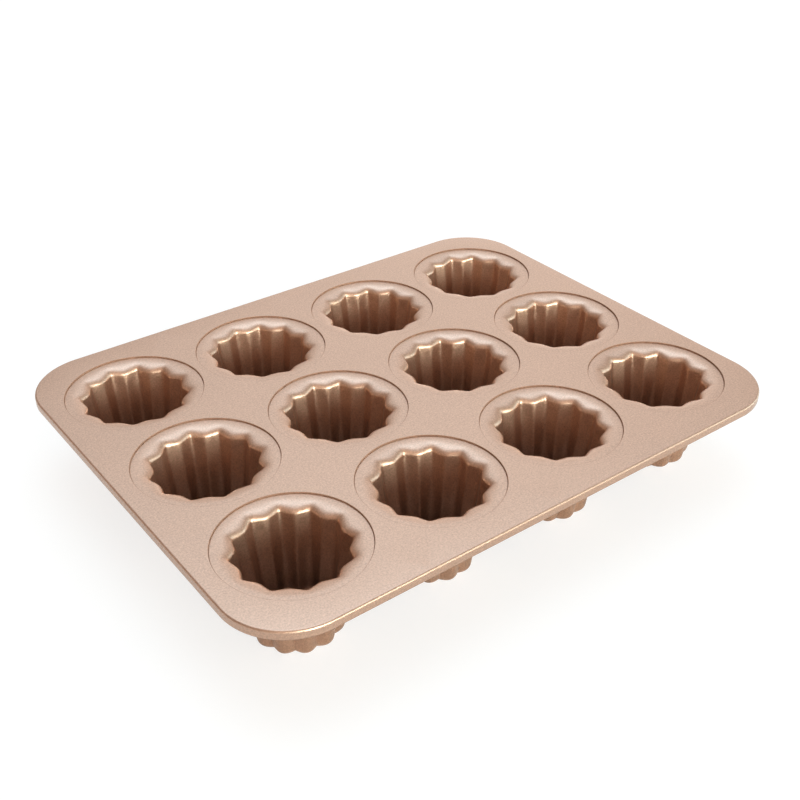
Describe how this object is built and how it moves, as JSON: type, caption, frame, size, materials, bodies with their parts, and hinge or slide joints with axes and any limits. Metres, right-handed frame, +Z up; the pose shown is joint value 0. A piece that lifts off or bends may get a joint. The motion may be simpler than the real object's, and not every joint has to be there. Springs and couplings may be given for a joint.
{
  "type": "fluted cake pan",
  "caption": "Rectangular sheet-metal baking tray with deep round fluted cups set into stepped seats, for baking small fluted cakes.",
  "frame": {"origin": "on the surface the pan stands on, under the middle of the tray, at the level of the cups' flat undersides", "axes": "+X along the long side of the tray, +Y from the front row of cups to the back row, +Z up out of the cups' mouths"},
  "size_m": [0.3516, 0.278, 0.0525],
  "materials": {
    "tray_coating": "satin champagne metallic non-stick coating with a fine speckle on carbon steel sheet",
    "cup_coating": "satin champagne metallic non-stick coating with a fine speckle on deep-drawn carbon steel sheet"
  },
  "bodies": {
    "root": {"tray": "tray_coating", "cup_front_1": "cup_coating", "cup_front_2": "cup_coating", "cup_front_3": "cup_coating", "cup_front_4": "cup_coating", "cup_middle_1": "cup_coating", "cup_middle_2": "cup_coating", "cup_middle_3": "cup_coating", "cup_middle_4": "cup_coating", "cup_back_1": "cup_coating", "cup_back_2": "cup_coating", "cup_back_3": "cup_coating", "cup_back_4": "cup_coating"}
  },
  "joints": []
}
